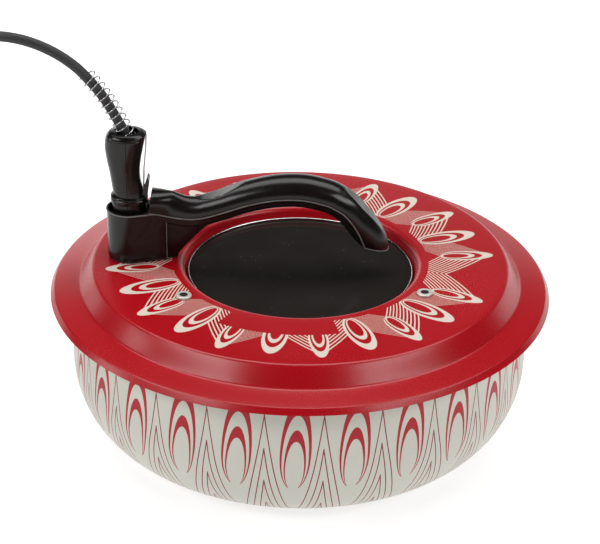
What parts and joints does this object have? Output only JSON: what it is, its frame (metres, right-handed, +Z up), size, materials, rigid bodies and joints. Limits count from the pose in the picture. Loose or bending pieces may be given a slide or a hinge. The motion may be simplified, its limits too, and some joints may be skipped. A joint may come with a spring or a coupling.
{
  "type": "electric cake maker",
  "caption": "Round electric cake pan with a patterned enamel body, a lift-off heating lid with a glass window, an arched handle on an upright inlet post, and a plug-in lead",
  "frame": {"origin": "centre of the pan's flat base, on the surface that it stands on", "axes": "+Z up; the inlet post stands on the -X side of the lid and the handle reaches along +X"},
  "size_m": [0.4924, 0.33, 0.2697],
  "materials": {
    "pan_body": "cream enamel with a printed red border pattern",
    "cord_lower": "black rubber sheath",
    "cord_coil": "black rubber sheath",
    "cord_tail": "black rubber sheath",
    "coil_tie": "matt band",
    "plug_body": "black moulded plug",
    "plug_relief": "matt rubber sleeve",
    "plug_pin_live": "plated round pin",
    "plug_pin_neutral": "plated round pin",
    "plug_earth_clip_1": "bright strip",
    "plug_earth_clip_2": "bright strip",
    "lid_shell": "glossy red enamel with a printed cream pattern",
    "window_glass": "smooth smoked glass",
    "window_seal": "matt silicone",
    "window_ring": "bright spring ring",
    "heat_reflector": "satin sheet",
    "heating_element": "dull oxidised steel tube",
    "element_terminal_live": "plain brass",
    "element_terminal_neutral": "plain brass",
    "element_bead_live": "unglazed ceramic",
    "element_bead_neutral": "unglazed ceramic",
    "element_clip_1": "bright bent strip",
    "element_clip_2": "bright bent strip",
    "element_clip_3": "bright bent strip",
    "reflector_spacer_1": "satin turned sleeve",
    "reflector_spacer_2": "satin turned sleeve",
    "reflector_spacer_3": "satin turned sleeve",
    "lid_screw_1": "bright plated",
    "lid_screw_2": "bright plated",
    "lid_screw_3": "bright plated",
    "lid_nut_1": "bright plated",
    "lid_nut_2": "bright plated",
    "lid_nut_3": "bright plated",
    "handle_housing": "black moulded bakelite",
    "housing_seal": "matt silicone",
    "housing_screw_1": "bright plated",
    "housing_screw_2": "bright plated",
    "inlet_block": "unglazed ceramic",
    "inlet_pin_live": "plain brass",
    "inlet_pin_neutral": "plain brass",
    "earth_spring": "bright spring leaf",
    "lead_live": "woven glass sleeve",
    "lead_neutral": "woven glass sleeve",
    "lead_earth": "woven glass sleeve",
    "connector_shell_outer": "black moulded bakelite",
    "connector_shell_inner": "black moulded bakelite",
    "connector_screw": "bright plated",
    "contact_tube_live": "plain brass",
    "contact_tube_neutral": "plain brass",
    "earth_strip": "bright strip",
    "cord_spring": "bright wound wire",
    "cord_upper": "black rubber sheath"
  },
  "bodies": {
    "pan": {"pan_body": "pan_body", "cord_lower": "cord_lower", "cord_coil": "cord_coil", "cord_tail": "cord_tail", "coil_tie": "coil_tie", "plug_body": "plug_body", "plug_relief": "plug_relief", "plug_pin_live": "plug_pin_live", "plug_pin_neutral": "plug_pin_neutral", "plug_earth_clip_1": "plug_earth_clip_1", "plug_earth_clip_2": "plug_earth_clip_2"},
    "lid": {"lid_shell": "lid_shell", "window_glass": "window_glass", "window_seal": "window_seal", "window_ring": "window_ring", "heat_reflector": "heat_reflector", "heating_element": "heating_element", "element_terminal_live": "element_terminal_live", "element_terminal_neutral": "element_terminal_neutral", "element_bead_live": "element_bead_live", "element_bead_neutral": "element_bead_neutral", "element_clip_1": "element_clip_1", "element_clip_2": "element_clip_2", "element_clip_3": "element_clip_3", "reflector_spacer_1": "reflector_spacer_1", "reflector_spacer_2": "reflector_spacer_2", "reflector_spacer_3": "reflector_spacer_3", "lid_screw_1": "lid_screw_1", "lid_screw_2": "lid_screw_2", "lid_screw_3": "lid_screw_3", "lid_nut_1": "lid_nut_1", "lid_nut_2": "lid_nut_2", "lid_nut_3": "lid_nut_3", "handle_housing": "handle_housing", "housing_seal": "housing_seal", "housing_screw_1": "housing_screw_1", "housing_screw_2": "housing_screw_2", "inlet_block": "inlet_block", "inlet_pin_live": "inlet_pin_live", "inlet_pin_neutral": "inlet_pin_neutral", "earth_spring": "earth_spring", "lead_live": "lead_live", "lead_neutral": "lead_neutral", "lead_earth": "lead_earth"},
    "connector": {"connector_shell_outer": "connector_shell_outer", "connector_shell_inner": "connector_shell_inner", "connector_screw": "connector_screw", "contact_tube_live": "contact_tube_live", "contact_tube_neutral": "contact_tube_neutral", "earth_strip": "earth_strip", "cord_spring": "cord_spring", "cord_upper": "cord_upper"}
  },
  "joints": [
    {"name": "lid_lift", "type": "slide", "parent": "pan", "child": "lid", "axis": [0, 0, 1], "range_m": [0, 0.12]},
    {"name": "connector_pull", "type": "slide", "parent": "lid", "child": "connector", "axis": [0, 0, 1], "range_m": [0, 0.035]}
  ]
}
